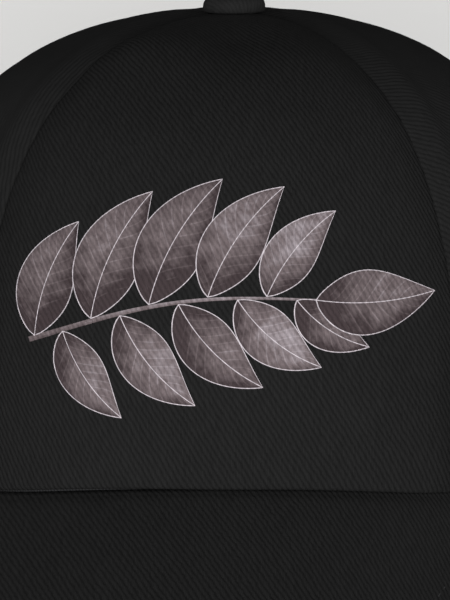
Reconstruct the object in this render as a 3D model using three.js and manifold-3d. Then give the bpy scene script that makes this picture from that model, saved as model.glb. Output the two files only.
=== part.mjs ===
// A baseball cap with a one-piece front panel, two side panels and two back panels, a bent visor,
// a sweatband inside and a strap with a metal slider across the gap at the back.
//
// Lengths are millimetres. The cap is made in its own frame first: the hem of its sides lies in the
// plane z = 0, the front faces -Y and +X is the wearer's left. At the end the whole cap is turned and
// moved so that it stands on a floor at z = 0, on the sides of its visor and the back of its hem.
import * as THREE from "three";
import { mergeVertices } from "three/addons/utils/BufferGeometryUtils.js";
import Module from "manifold-3d";

const wasm = await Module();
wasm.setup();

const DEGREE = Math.PI / 180;
const GAP = 0.3; // clearance between pieces that touch

// Crown
const HALF_WIDTH = 90; // half of the crown, side to side
const FRONT_DEPTH = 95; // from the middle of the crown to its front
const BACK_DEPTH = 97; // from the middle of the crown to its back
const PLAN_POWER = 2.2; // 2 is an ellipse seen from above, more is squarer
const BAND_HEIGHT = 2.5; // upright wall under the dome
const DOME_HEIGHT = 113; // from that wall to the top
const TOP_SET_BACK = 7.2; // how far the top lies behind the middle
const FRONT_WALL_POWER = 2.85; // how upright the front stands
const SIDE_WALL_POWER = 2.4; // how upright the sides and back stand
const FRONT_TOP_POWER = 2.5; // how flat the top is, towards the front
const SIDE_TOP_POWER = 3.1; // how flat the top is, towards the sides and back
const FRONT_SEAM = 40 * DEGREE; // azimuth of the seams beside the front panel
const SIDE_SEAM = 112 * DEGREE; // azimuth of the seams behind the side panels
const BACK_SEAM = 180 * DEGREE; // azimuth of the seam between the back panels
const FRONT_THICKNESS = 1.6; // twill with its stiff lining
const PANEL_THICKNESS = 1.0; // twill alone, with its turned edges
const TOP_HOLE_RADIUS = 3; // where all panels stop, round the button's shank

// Visor
const VISOR_SLOPE = 38.5 * DEGREE; // fall of its middle line, forward
const VISOR_BEND_RADIUS = 109; // bend of the plate, side to side
const VISOR_THICKNESS = 2.8;
const VISOR_REACH = 70; // from the crown to the front edge, on the middle line
const VISOR_HALF_ARC = 90; // from the middle line to each tip, along the bend
const VISOR_OUTLINE_POWER = 2.3; // 2 is a plain oval outline, more is squarer
const VISOR_TIP_WIDTH = 2.5; // what is left of the plate at each tip
const JOINT_HEIGHT = 8.2; // crown meets visor this high, on the middle line
const VISOR_TUCK = FRONT_THICKNESS; // how far the plate goes under the front panel
const VISOR_CLEARANCE = 0.6; // between the plate and the hem that stands on it
const TIP_AZIMUTH = 60 * DEGREE; // of the visor's tips
const HEM_LEVEL_AZIMUTH = 71 * DEGREE; // where the hem is back in the plane z = 0

// Inside and back
const SWEATBAND_HEIGHT = 32;
const SWEATBAND_THICKNESS = 1.2;
const SWEATBAND_INSET = VISOR_TUCK + GAP;
const SWEATBAND_DROP = 3; // how far it covers the visor's rear edge, at the front
const ARCH_HALF_WIDTH = 40; // clear gap at the back of the crown
const ARCH_HEIGHT = 42;
const BINDING_WIDTH = 4; // tape round that gap
const BINDING_PROUD = 0.3; // how far the tape stands out of the panels
const BINDING_THICKNESS = 1.6;
const STRAP_LOW = 4.5;
const STRAP_WIDTH = 18;
const STRAP_THICKNESS = 0.9;
const STRAP_INSET = BINDING_THICKNESS - BINDING_PROUD + GAP; // strap lies inside the tape
const STRAP_HALF_ARC = 37 * DEGREE; // azimuth from the back seam to each end
const TAIL_START = 3 * DEGREE; // free end of the strap, from the slider to its tip
const TAIL_END = 18 * DEGREE;
const SLIDER_AZIMUTH = 7 * DEGREE; // behind the back seam, on the wearer's right
const SLIDER_LENGTH = 12;
const SLIDER_WALL = 1;
const SLIDER_PLAY = 0.5; // room round the strap inside the slider

// Button and eyelets
const BUTTON_RADIUS = 8.5;
const BUTTON_HEIGHT = 5;
const SHANK_RADIUS = 2.6;
const BUTTON_BACK_RADIUS = 6.5;
const BUTTON_BACK_THICKNESS = 1.2;
const EYELET_HEIGHT = 84; // of each eyelet's middle, above the hem
const EYELET_HOLE_RADIUS = 2.2;
const EYELET_RING_RADIUS = 1.3; // of the sewn ring's own section

// Standing on the floor
const REST_PITCH = 10.21 * DEGREE; // front of the hem raised by the visor

const TWILL = { color: 0x1b1b1d, roughness: 0.9, metalness: 0 };
const THREAD = { color: 0x161618, roughness: 0.8, metalness: 0 };
const LINING = { color: 0x202022, roughness: 0.95, metalness: 0 };
const METAL = { color: 0x8d8a84, roughness: 0.35, metalness: 1 };

// Distance from the crown's axis to its wall, seen from above
function planRadius(azimuth) {
  const depth = Math.cos(azimuth) > 0 ? FRONT_DEPTH : BACK_DEPTH;
  const across = Math.abs(Math.sin(azimuth) / HALF_WIDTH) ** PLAN_POWER;
  const along = Math.abs(Math.cos(azimuth) / depth) ** PLAN_POWER;
  return (across + along) ** (-1 / PLAN_POWER);
}

function domePowers(azimuth) {
  const frontShare = Math.max(Math.cos(azimuth), 0) ** 2;
  return {
    wall: THREE.MathUtils.lerp(SIDE_WALL_POWER, FRONT_WALL_POWER, frontShare),
    top: THREE.MathUtils.lerp(SIDE_TOP_POWER, FRONT_TOP_POWER, frontShare),
  };
}

// A point of the crown's outer face. Azimuth 0 is the front. Climb is an angle from 0 at the dome's
// foot to a quarter turn at its top, and below 0 it runs down the upright wall, BAND_HEIGHT a radian.
function crownPoint(azimuth, climb) {
  const radius = planRadius(azimuth);
  if (climb <= 0) {
    const height = BAND_HEIGHT * (1 + climb);
    return new THREE.Vector3(radius * Math.sin(azimuth), -radius * Math.cos(azimuth), height);
  }
  const powers = domePowers(azimuth);
  const spread = radius * Math.cos(climb) ** (2 / powers.wall);
  const rise = Math.sin(climb) ** (2 / powers.top);
  return new THREE.Vector3(
    spread * Math.sin(azimuth),
    TOP_SET_BACK * rise - spread * Math.cos(azimuth),
    BAND_HEIGHT + DOME_HEIGHT * rise,
  );
}

function crownNormal(azimuth, climb) {
  const step = 1e-3;
  const low = Math.min(climb - step, Math.PI / 2 - 3 * step);
  const around = crownPoint(azimuth + step, low + step).sub(crownPoint(azimuth - step, low + step));
  const upward = crownPoint(azimuth, low + 2 * step).sub(crownPoint(azimuth, low));
  return around.cross(upward).normalize();
}

// The same point moved straight in through the cloth
function insidePoint(azimuth, climb, inset) {
  return crownPoint(azimuth, climb).addScaledVector(crownNormal(azimuth, climb), -inset);
}

function climbAtHeight(azimuth, height) {
  if (height <= BAND_HEIGHT) {
    return height / BAND_HEIGHT - 1;
  }
  return Math.asin(((height - BAND_HEIGHT) / DOME_HEIGHT) ** (domePowers(azimuth).top / 2));
}

function climbAtTopRadius(azimuth, radius) {
  return Math.acos((radius / planRadius(azimuth)) ** (domePowers(azimuth).wall / 2));
}

// Climbs from low to high, the same distance apart along the cloth
function evenClimbs(azimuth, low, high, rows) {
  const samples = 300;
  const climbs = [low];
  const lengths = [0];
  let last = crownPoint(azimuth, low);
  for (let i = 1; i <= samples; i += 1) {
    const climb = low + ((high - low) * i) / samples;
    const point = crownPoint(azimuth, climb);
    climbs.push(climb);
    lengths.push(lengths[i - 1] + point.distanceTo(last));
    last = point;
  }
  const result = [];
  let cursor = 0;
  for (let row = 0; row <= rows; row += 1) {
    const target = (lengths[samples] * row) / rows;
    while (cursor < samples - 1 && lengths[cursor + 1] < target) {
      cursor += 1;
    }
    const share = (target - lengths[cursor]) / (lengths[cursor + 1] - lengths[cursor]);
    result.push(THREE.MathUtils.lerp(climbs[cursor], climbs[cursor + 1], share));
  }
  return result;
}

// A closed plate between two grids of points that lie over one another
function plateGeometry(columns, rows, outerPoint, innerPoint) {
  const positions = [];
  const index = [];
  const faceSize = (columns + 1) * (rows + 1);
  const vertex = (side, column, row) => side * faceSize + column * (rows + 1) + row;
  for (const pointAt of [outerPoint, innerPoint]) {
    for (let column = 0; column <= columns; column += 1) {
      for (let row = 0; row <= rows; row += 1) {
        positions.push(...pointAt(column, row).toArray());
      }
    }
  }
  const quad = (a, b, c, d) => index.push(a, b, c, a, c, d);
  for (let column = 0; column < columns; column += 1) {
    for (let row = 0; row < rows; row += 1) {
      quad(
        vertex(0, column, row),
        vertex(0, column + 1, row),
        vertex(0, column + 1, row + 1),
        vertex(0, column, row + 1),
      );
      quad(
        vertex(1, column, row + 1),
        vertex(1, column + 1, row + 1),
        vertex(1, column + 1, row),
        vertex(1, column, row),
      );
    }
    quad(vertex(1, column, 0), vertex(1, column + 1, 0), vertex(0, column + 1, 0), vertex(0, column, 0));
    quad(
      vertex(0, column, rows),
      vertex(0, column + 1, rows),
      vertex(1, column + 1, rows),
      vertex(1, column, rows),
    );
  }
  for (let row = 0; row < rows; row += 1) {
    quad(vertex(1, 0, row), vertex(0, 0, row), vertex(0, 0, row + 1), vertex(1, 0, row + 1));
    quad(
      vertex(0, columns, row),
      vertex(1, columns, row),
      vertex(1, columns, row + 1),
      vertex(0, columns, row + 1),
    );
  }
  const geometry = new THREE.BufferGeometry();
  geometry.setAttribute("position", new THREE.Float32BufferAttribute(positions, 3));
  geometry.setIndex(index);
  return geometry;
}

// The geometry with its doubled vertices joined, as a closed solid needs
function withJoinedVertices(geometry) {
  geometry.deleteAttribute("normal");
  geometry.deleteAttribute("uv");
  return mergeVertices(geometry, 1e-4);
}

function toSolid(geometry) {
  const merged = withJoinedVertices(geometry);
  const vertProperties = new Float32Array(merged.getAttribute("position").array);
  const triVerts = new Uint32Array(merged.getIndex().array);
  return new wasm.Manifold(new wasm.Mesh({ numProp: 3, vertProperties, triVerts }));
}

function cutAway(geometry, cutters) {
  let solid = toSolid(geometry);
  for (const cutter of cutters) {
    solid = solid.subtract(toSolid(cutter));
  }
  const mesh = solid.getMesh();
  const result = new THREE.BufferGeometry();
  result.setAttribute("position", new THREE.BufferAttribute(new Float32Array(mesh.vertProperties), 3));
  result.setIndex(new THREE.BufferAttribute(new Uint32Array(mesh.triVerts), 1));
  return result;
}

function pieceMesh(name, geometry, finish) {
  const mesh = new THREE.Mesh(geometry, new THREE.MeshStandardMaterial(finish));
  mesh.name = name;
  return mesh;
}

// Visor: a flat crescent bent round an axis that slopes forward. Arc runs along the bend from the
// middle line, reach runs forward from the crown's front, and depth goes down through the plate.
function visorPoint(arc, reach, depth) {
  const turn = arc / VISOR_BEND_RADIUS;
  const radius = VISOR_BEND_RADIUS - depth;
  const fall = VISOR_BEND_RADIUS - radius * Math.cos(turn);
  return new THREE.Vector3(
    radius * Math.sin(turn),
    -FRONT_DEPTH - reach * Math.cos(VISOR_SLOPE) + fall * Math.sin(VISOR_SLOPE),
    JOINT_HEIGHT - reach * Math.sin(VISOR_SLOPE) - fall * Math.cos(VISOR_SLOPE),
  );
}

// Reach at which the plate meets the crown's upright wall, moved in by inset
function visorRearReach(arc, depth, inset) {
  const turn = arc / VISOR_BEND_RADIUS;
  const radius = VISOR_BEND_RADIUS - depth;
  const fall = VISOR_BEND_RADIUS - radius * Math.cos(turn);
  const across = Math.abs(radius * Math.sin(turn)) / (HALF_WIDTH - inset);
  const wallDepth = (FRONT_DEPTH - inset) * (1 - across ** PLAN_POWER) ** (1 / PLAN_POWER);
  return (wallDepth - FRONT_DEPTH + fall * Math.sin(VISOR_SLOPE)) / Math.cos(VISOR_SLOPE);
}

function visorFrontReach(arc) {
  const tipReach = visorRearReach(VISOR_HALF_ARC, 0, 0) + VISOR_TIP_WIDTH;
  const across = Math.abs(arc / VISOR_HALF_ARC) ** VISOR_OUTLINE_POWER;
  return tipReach + (VISOR_REACH - tipReach) * Math.max(1 - across, 0) ** (1 / VISOR_OUTLINE_POWER);
}

// Height of the visor's upper face, or of where it would go on, under a point of the crown's wall
function visorHeight(point) {
  const turn = Math.asin(point.x / VISOR_BEND_RADIUS);
  const fall = VISOR_BEND_RADIUS * (1 - Math.cos(turn));
  const reach = (-FRONT_DEPTH - point.y + fall * Math.sin(VISOR_SLOPE)) / Math.cos(VISOR_SLOPE);
  return JOINT_HEIGHT - reach * Math.sin(VISOR_SLOPE) - fall * Math.cos(VISOR_SLOPE);
}

// Height of the crown's hem: on the visor at the front, in the plane z = 0 past its tips. The wall
// leans back a little as it rises, so the height is found again from the place that it leads to.
function hemHeight(azimuth, inset) {
  const turn = Math.abs(THREE.MathUtils.euclideanModulo(azimuth + Math.PI, 2 * Math.PI) - Math.PI);
  const share = THREE.MathUtils.clamp((HEM_LEVEL_AZIMUTH - turn) / (HEM_LEVEL_AZIMUTH - TIP_AZIMUTH), 0, 1);
  const nearTurn = Math.min(turn, TIP_AZIMUTH);
  let height = 0;
  for (let round = 0; round < 4; round += 1) {
    const wallPoint = insidePoint(nearTurn, climbAtHeight(nearTurn, height), inset);
    height = Math.max(visorHeight(wallPoint) + VISOR_CLEARANCE, 0);
  }
  return height * share;
}

function makeVisor() {
  const columns = 36;
  const rows = 8;
  const faceAt = (depth) => (column, row) => {
    // Even steps of an angle put more columns near the tips, where the outline turns
    const arc = VISOR_HALF_ARC * Math.sin((column / columns - 0.5) * Math.PI);
    const tuck = VISOR_TUCK * (1 - Math.abs(arc / VISOR_HALF_ARC) ** 4);
    const rear = visorRearReach(arc, depth, tuck);
    const front = visorFrontReach(arc);
    return visorPoint(arc, THREE.MathUtils.lerp(rear, front, row / rows), depth);
  };
  const upperFace = faceAt(0);
  const lowerFace = faceAt(VISOR_THICKNESS);
  return pieceMesh("visor", plateGeometry(columns, rows, lowerFace, upperFace), TWILL);
}

// A crown panel between two seams
function panelGeometry(fromAzimuth, toAzimuth, thickness, columns, rows) {
  const faceAt = (inset) => {
    const grid = [];
    for (let column = 0; column <= columns; column += 1) {
      const middle = THREE.MathUtils.lerp(fromAzimuth, toAzimuth, column / columns);
      const low = climbAtHeight(middle, hemHeight(middle, inset));
      const high = climbAtTopRadius(middle, TOP_HOLE_RADIUS);
      const line = [];
      for (const climb of evenClimbs(middle, low, high, rows)) {
        const point = crownPoint(middle, climb);
        const axisDistance = Math.hypot(point.x, point.y - TOP_SET_BACK);
        const seamTurn = GAP / 2 / axisDistance;
        const azimuth = THREE.MathUtils.lerp(fromAzimuth + seamTurn, toAzimuth - seamTurn, column / columns);
        line.push(insidePoint(azimuth, climb, inset));
      }
      grid.push(line);
    }
    return (column, row) => grid[column][row];
  };
  return plateGeometry(columns, rows, faceAt(0), faceAt(thickness));
}

// A rod of oval section along Y that cuts the gap at the back, size being half width and height
function archCutter(halfWidth, height) {
  const outline = new THREE.Shape();
  outline.absellipse(0, 0, halfWidth, height, 0, 2 * Math.PI);
  const rod = new THREE.ExtrudeGeometry(outline, {
    depth: BACK_DEPTH,
    bevelEnabled: false,
    curveSegments: 24,
  });
  rod.rotateX(Math.PI / 2);
  rod.translate(0, 1.5 * BACK_DEPTH, 0);
  return rod;
}

function eyeletPlace(azimuth) {
  const climb = climbAtHeight(azimuth, EYELET_HEIGHT);
  const normal = crownNormal(azimuth, climb);
  const turn = new THREE.Quaternion().setFromUnitVectors(new THREE.Vector3(0, 1, 0), normal);
  const middle = insidePoint(azimuth, climb, PANEL_THICKNESS / 2);
  return { middle, turn };
}

function eyeletCutter(azimuth) {
  const radius = EYELET_HOLE_RADIUS + 2 * EYELET_RING_RADIUS + GAP;
  const rod = new THREE.CylinderGeometry(radius, radius, 12, 20);
  const place = eyeletPlace(azimuth);
  rod.applyQuaternion(place.turn);
  rod.translate(place.middle.x, place.middle.y, place.middle.z);
  return rod;
}

function makeEyelet(name, azimuth) {
  const middleRadius = EYELET_HOLE_RADIUS + EYELET_RING_RADIUS;
  const ring = new THREE.TorusGeometry(middleRadius, EYELET_RING_RADIUS, 8, 20);
  ring.rotateX(Math.PI / 2);
  const eyelet = pieceMesh(name, withJoinedVertices(ring), THREAD);
  const place = eyeletPlace(azimuth);
  eyelet.quaternion.copy(place.turn);
  eyelet.position.copy(place.middle);
  return eyelet;
}

function makePanels() {
  const sideMiddle = (FRONT_SEAM + SIDE_SEAM) / 2;
  const backMiddle = (SIDE_SEAM + BACK_SEAM) / 2;
  const front = panelGeometry(-FRONT_SEAM, FRONT_SEAM, FRONT_THICKNESS, 14, 14);
  const pieces = [pieceMesh("front_panel", front, TWILL)];
  for (const [side, sign] of [["left", 1], ["right", -1]]) {
    const between = (near, far) => (sign > 0 ? [near, far] : [-far, -near]);
    const sidePanel = panelGeometry(...between(FRONT_SEAM, SIDE_SEAM), PANEL_THICKNESS, 12, 13);
    const backPanel = panelGeometry(...between(SIDE_SEAM, BACK_SEAM), PANEL_THICKNESS, 12, 13);
    const arch = archCutter(ARCH_HALF_WIDTH + BINDING_WIDTH + GAP, ARCH_HEIGHT + BINDING_WIDTH + GAP);
    const sideCut = cutAway(sidePanel, [eyeletCutter(sign * sideMiddle)]);
    const backCut = cutAway(backPanel, [arch, eyeletCutter(sign * backMiddle)]);
    pieces.push(pieceMesh(`side_panel_${side}`, sideCut, TWILL));
    pieces.push(pieceMesh(`back_panel_${side}`, backCut, TWILL));
    pieces.push(makeEyelet(`side_eyelet_${side}`, sign * sideMiddle));
    pieces.push(makeEyelet(`back_eyelet_${side}`, sign * backMiddle));
  }
  return pieces;
}

// The button's dome and shank, turned about the cap's axis, and the disc that holds it inside
function makeButton() {
  const edgeHeight = 1.8;
  const rimWidth = 0.6;
  const shankEnd = -FRONT_THICKNESS - GAP;
  const outline = [
    new THREE.Vector2(0, shankEnd),
    new THREE.Vector2(SHANK_RADIUS, shankEnd),
    new THREE.Vector2(SHANK_RADIUS, GAP),
    new THREE.Vector2(BUTTON_RADIUS - rimWidth, GAP),
  ];
  const steps = 7;
  for (let i = 0; i < steps; i += 1) {
    const angle = (i / steps) * (Math.PI / 2);
    const radius = BUTTON_RADIUS * Math.cos(angle) ** 0.8;
    outline.push(new THREE.Vector2(radius, edgeHeight + (BUTTON_HEIGHT - edgeHeight) * Math.sin(angle)));
  }
  outline.push(new THREE.Vector2(0, BUTTON_HEIGHT));
  const dome = new THREE.LatheGeometry(outline, 24);
  const disc = new THREE.CylinderGeometry(BUTTON_BACK_RADIUS, BUTTON_BACK_RADIUS, BUTTON_BACK_THICKNESS, 24);
  const button = pieceMesh("button", withJoinedVertices(dome), TWILL);
  const back = pieceMesh("button_back", withJoinedVertices(disc), METAL);
  const top = BAND_HEIGHT + DOME_HEIGHT;
  for (const piece of [button, back]) {
    piece.rotation.x = Math.PI / 2;
    piece.position.set(0, TOP_SET_BACK, top);
  }
  back.position.z = top - FRONT_THICKNESS - 2 * GAP - BUTTON_BACK_THICKNESS / 2;
  return [button, back];
}

// A band that lies inside the crown, given by azimuths, the heights of its edges, inset and thickness
function bandGeometry({ from, to, lowAt, highAt, inset, thickness, columns, rows }) {
  const faceAt = (depth) => (column, row) => {
    const azimuth = THREE.MathUtils.lerp(from, to, column / columns);
    const height = THREE.MathUtils.lerp(lowAt(azimuth), highAt(azimuth), row / rows);
    return insidePoint(azimuth, climbAtHeight(azimuth, height), depth);
  };
  return plateGeometry(columns, rows, faceAt(inset), faceAt(inset + thickness));
}

function makeSweatband() {
  const clearOfHem = 0.4;
  const end = BACK_SEAM - STRAP_HALF_ARC - 1 * DEGREE;
  const lowAt = (azimuth) => Math.max(hemHeight(azimuth, SWEATBAND_INSET) - SWEATBAND_DROP, clearOfHem);
  const geometry = bandGeometry({
    from: -end,
    to: end,
    lowAt,
    highAt: (azimuth) => lowAt(azimuth) + SWEATBAND_HEIGHT,
    inset: SWEATBAND_INSET,
    thickness: SWEATBAND_THICKNESS,
    columns: 48,
    rows: 3,
  });
  return pieceMesh("sweatband", geometry, LINING);
}

// Strap across the gap, its free end lying on it, and the metal slider round both
function makeStrap() {
  const lowAt = () => STRAP_LOW;
  const highAt = () => STRAP_LOW + STRAP_WIDTH;
  const strap = bandGeometry({
    from: BACK_SEAM - STRAP_HALF_ARC,
    to: BACK_SEAM + STRAP_HALF_ARC,
    lowAt,
    highAt,
    inset: STRAP_INSET,
    thickness: STRAP_THICKNESS,
    columns: 20,
    rows: 1,
  });
  const tailInset = STRAP_INSET - GAP - STRAP_THICKNESS;
  const tail = bandGeometry({
    from: BACK_SEAM + TAIL_START,
    to: BACK_SEAM + TAIL_END,
    lowAt,
    highAt,
    inset: tailInset,
    thickness: STRAP_THICKNESS,
    columns: 6,
    rows: 1,
  });
  return [pieceMesh("strap", strap, TWILL), pieceMesh("strap_tail", tail, TWILL), makeSlider(tailInset)];
}

function makeSlider(tailInset) {
  const azimuth = BACK_SEAM + SLIDER_AZIMUTH;
  const innerHeight = STRAP_WIDTH + 2 * SLIDER_PLAY;
  const innerDepth = 2 * STRAP_THICKNESS + GAP + 2 * SLIDER_PLAY;
  const outerHeight = innerHeight + 2 * SLIDER_WALL;
  const outerDepth = innerDepth + 2 * SLIDER_WALL;
  const outer = new THREE.BoxGeometry(SLIDER_LENGTH, outerDepth, outerHeight);
  const inner = new THREE.BoxGeometry(2 * SLIDER_LENGTH, innerDepth, innerHeight);
  const slider = pieceMesh("strap_slider", cutAway(outer, [inner]), METAL);
  const middleInset = tailInset + STRAP_THICKNESS + GAP / 2;
  const climb = climbAtHeight(azimuth, STRAP_LOW + STRAP_WIDTH / 2);
  slider.position.copy(insidePoint(azimuth, climb, middleInset));
  const normal = crownNormal(azimuth, climb);
  const along = new THREE.Vector3(-normal.y, normal.x, 0).normalize();
  const upward = along.clone().cross(normal).normalize();
  slider.quaternion.setFromRotationMatrix(new THREE.Matrix4().makeBasis(along, normal, upward));
  return slider;
}

// Tape round the gap at the back, a flat section swept along the gap's edge on the crown
function makeBinding() {
  const columns = 30;
  const clearOfHem = 0.6;
  const backPoint = (across, height, inset) => {
    const climb = climbAtHeight(BACK_SEAM, height);
    const spread = climb > 0 ? Math.cos(climb) ** (2 / SIDE_WALL_POWER) : 1;
    const planX = across / spread;
    const planY = BACK_DEPTH * (1 - Math.abs(planX / HALF_WIDTH) ** PLAN_POWER) ** (1 / PLAN_POWER);
    return insidePoint(Math.atan2(planX, -planY), climb, inset);
  };
  const faceAt = (inset) => (column, row) => {
    const turn = (column / columns) * Math.PI;
    const widthAdded = BINDING_WIDTH * row;
    const across = (ARCH_HALF_WIDTH + widthAdded) * Math.cos(turn);
    const height = Math.max((ARCH_HEIGHT + widthAdded) * Math.sin(turn), clearOfHem);
    return backPoint(across, height, inset);
  };
  const outerFace = faceAt(-BINDING_PROUD);
  const innerFace = faceAt(BINDING_THICKNESS - BINDING_PROUD);
  const geometry = plateGeometry(columns, 1, outerFace, innerFace);
  return pieceMesh("arch_binding", geometry, TWILL);
}

function makeCap() {
  const cap = new THREE.Group();
  cap.add(...makePanels(), ...makeButton(), makeVisor(), makeSweatband(), makeBinding(), ...makeStrap());
  cap.rotation.x = -REST_PITCH;
  const standing = new THREE.Group();
  standing.add(cap);
  standing.updateMatrixWorld(true);
  const box = new THREE.Box3().setFromObject(standing, true);
  const middle = box.getCenter(new THREE.Vector3());
  cap.position.set(-middle.x, -middle.y, -box.min.z);
  return standing;
}

const cap = makeCap();

export default cap;
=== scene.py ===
# A black twill baseball cap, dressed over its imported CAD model.
# Lengths are millimetres in the cap's own frame, where the hem of the sides lies in the plane z = 0,
# the front faces -Y and +X is the wearer's left. to_room() turns them into metres on the floor.
import math

import bpy
import numpy as np
from mathutils import Matrix, Vector


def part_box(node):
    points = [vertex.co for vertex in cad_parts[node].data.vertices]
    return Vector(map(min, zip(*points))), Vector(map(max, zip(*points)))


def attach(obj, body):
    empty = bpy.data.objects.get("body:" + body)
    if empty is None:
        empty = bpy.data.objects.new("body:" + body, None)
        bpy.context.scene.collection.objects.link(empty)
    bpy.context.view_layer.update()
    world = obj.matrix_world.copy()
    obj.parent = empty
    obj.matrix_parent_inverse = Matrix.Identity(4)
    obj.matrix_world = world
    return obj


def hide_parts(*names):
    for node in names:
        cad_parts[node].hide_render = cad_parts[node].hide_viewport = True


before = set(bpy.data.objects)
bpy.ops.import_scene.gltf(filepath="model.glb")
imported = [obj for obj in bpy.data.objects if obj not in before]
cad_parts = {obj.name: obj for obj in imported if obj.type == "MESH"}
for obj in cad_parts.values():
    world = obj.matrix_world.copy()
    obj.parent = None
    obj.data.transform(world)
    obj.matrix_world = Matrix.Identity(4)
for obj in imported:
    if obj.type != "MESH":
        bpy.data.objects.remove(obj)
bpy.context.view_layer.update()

MILLIMETRE = 0.001

# Crown, as the solids have it
HALF_WIDTH = 90.0
FRONT_DEPTH = 95.0
BACK_DEPTH = 97.0
PLAN_POWER = 2.2
BAND_HEIGHT = 2.5
DOME_HEIGHT = 113.0
TOP_SET_BACK = 7.2
FRONT_WALL_POWER = 2.85
SIDE_WALL_POWER = 2.4
FRONT_TOP_POWER = 2.5
SIDE_TOP_POWER = 3.1
FRONT_SEAM = math.radians(40)
SIDE_SEAM = math.radians(112)
BACK_SEAM = math.radians(180)
FRONT_THICKNESS = 1.6
PANEL_THICKNESS = 1.0
TOP_HOLE_RADIUS = 3.0
REST_PITCH = math.radians(10.21)

# Visor, as the solids have it
VISOR_SLOPE = math.radians(38.5)
VISOR_BEND_RADIUS = 109.0
VISOR_THICKNESS = 2.8
VISOR_REACH = 70.0
VISOR_HALF_ARC = 90.0
VISOR_OUTLINE_POWER = 2.3
VISOR_TIP_WIDTH = 2.5
JOINT_HEIGHT = 8.2
VISOR_TUCK = FRONT_THICKNESS
TIP_AZIMUTH = math.radians(60)
HEM_LEVEL_AZIMUTH = math.radians(71)

# Inside and back, as the solids have them
GAP = 0.3
SWEATBAND_HEIGHT = 32.0
SWEATBAND_THICKNESS = 1.2
SWEATBAND_INSET = VISOR_TUCK + GAP
SWEATBAND_DROP = 3.0
ARCH_HALF_WIDTH = 40.0
ARCH_HEIGHT = 42.0
BINDING_WIDTH = 4.0
BINDING_PROUD = 0.3
BINDING_THICKNESS = 1.6
STRAP_LOW = 4.5
STRAP_WIDTH = 18.0
STRAP_THICKNESS = 0.9
STRAP_INSET = BINDING_THICKNESS - BINDING_PROUD + GAP
STRAP_HALF_ARC = math.radians(37)
TAIL_START = math.radians(3)
TAIL_END = math.radians(18)
SLIDER_AZIMUTH = math.radians(7)
SLIDER_LENGTH = 12.0
SLIDER_WALL = 1.0
SLIDER_PLAY = 0.5
BUTTON_RADIUS = 8.5
BUTTON_HEIGHT = 5.0
BUTTON_BACK_THICKNESS = 1.2
EYELET_HEIGHT = 84.0
EYELET_HOLE_RADIUS = 2.2

# Joint between crown and visor
HEM_GAP = 0.12
HEM_END_GAP = 0.35
HEM_BULGE = 0.5
HEM_ROLL_SHARE = 0.7
JOINT_HALF_WIDTH = 80.0
JOINT_SHIFT_REACH = 22.0
JOINT_LIFT = 0.65
JOINT_TILT = 0.012
JOINT_SAG = 1.4
JOINT_SAG_WIDTH = 28.0
SEAM_ARC = 65.0
CREASE_DEPTH = 0.4
CREASE_WIDTH = 1.5
CREASE_END_SHARE = 0.9

# Sewing and small forms
STITCH_LENGTH = 2.3
STITCH_SPACE = 0.7
STITCH_RADIUS = 0.24
VISOR_STITCH_ROWS = [5.0 + 5.5 * i for i in range(4)]  # from the front edge
STITCH_GROOVE = 0.16
STITCH_GROOVE_WIDTH = 0.8
STRAP_STITCH_INSET = 2.2
TAPE_HALF_WIDTH = 5.5
TAPE_THICKNESS = 0.5
TAPE_DEPTH = 0.75
TAPE_START_HEIGHT = 26.0
TAPE_END_RADIUS = 9.0
TAPE_STITCHES = 0.72  # share of the half width
EYELET_CUT_MARGIN = 1.1
EYELET_RING_HALF_WIDTH = 1.35
EYELET_RING_HALF_DEPTH = 0.95
EYELET_THREADS = 44
BUTTON_SHOULDER = 1.2
BUTTON_GATHERS = 18
BUTTON_GATHER = 0.10

# Soft forms of the crown's cloth
CROWN_LEAN = 1.3
SEAM_DIP = 1.2
SEAM_DIP_WIDTH = 7.0
SOFT_DIP_WIDTH = 5.0
SEAM_BAND = 0.75
SEAM_BAND_PLACE = 7.0
SEAM_BAND_WIDTH = 4.5
SEAM_FOLD = 0.6
SEAM_FOLD_PLACE = 13.0
SEAM_FOLD_WIDTH = 3.5
SEAM_TURN = math.radians(26)
SEAM_TURN_REACH = 28.0
SEAM_GROOVE = 0.35
SEAM_GROOVE_WIDTH = 0.75
PUCKER = 0.09
PUCKER_PLACE = 2.0
PUCKER_WIDTH = 3.5
TOP_FADE_REACH = 25.0  # the seams get finer this near to the crown's axis
UPPER_DIP = 0.6
UPPER_DIP_HEIGHT = 100.0
UPPER_DIP_WIDTH = 16.0
LINED_BAND_SHARE = 0.15
FOLD_HEIGHT = 95.0
FOLD_HEIGHT_WIDTH = 20.0
WAVE = 0.16
FINE_WAVE = 0.09
SOFT_WAVE = 0.22
SHOULDER_RISE = 1.15
SHOULDER_REACH = 55.0
SHOULDER_HEIGHT = 98.0
SHOULDER_WIDTH = 13.0

# Weave, inks and maps
RIDGE_PITCH = 1.27
RIDGE_ANGLE = math.radians(58.5)
COLUMNS_PER_RIDGE = 4
FLOAT_SHARE = 0.75
INK_DARK = (0.021, 0.0155, 0.0165)
INK_MIDDLE = (0.066, 0.053, 0.055)
INK_LIGHT = (0.185, 0.165, 0.178)
INK_PALE = (0.30, 0.275, 0.29)
UV_SCALE = 0.01  # cloth millimetres to map units
SHARP_ANGLE = math.radians(55)

# Where the front panel stands out or is drawn in near its top: middle, size and rise
PUFFS = [
    ((-20.0, -38.0, 108.5), 13.0, 2.5),
    ((20.0, -39.0, 108.5), 11.0, 1.0),
    ((2.5, -34.0, 111.0), 10.0, -1.5),
]

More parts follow.
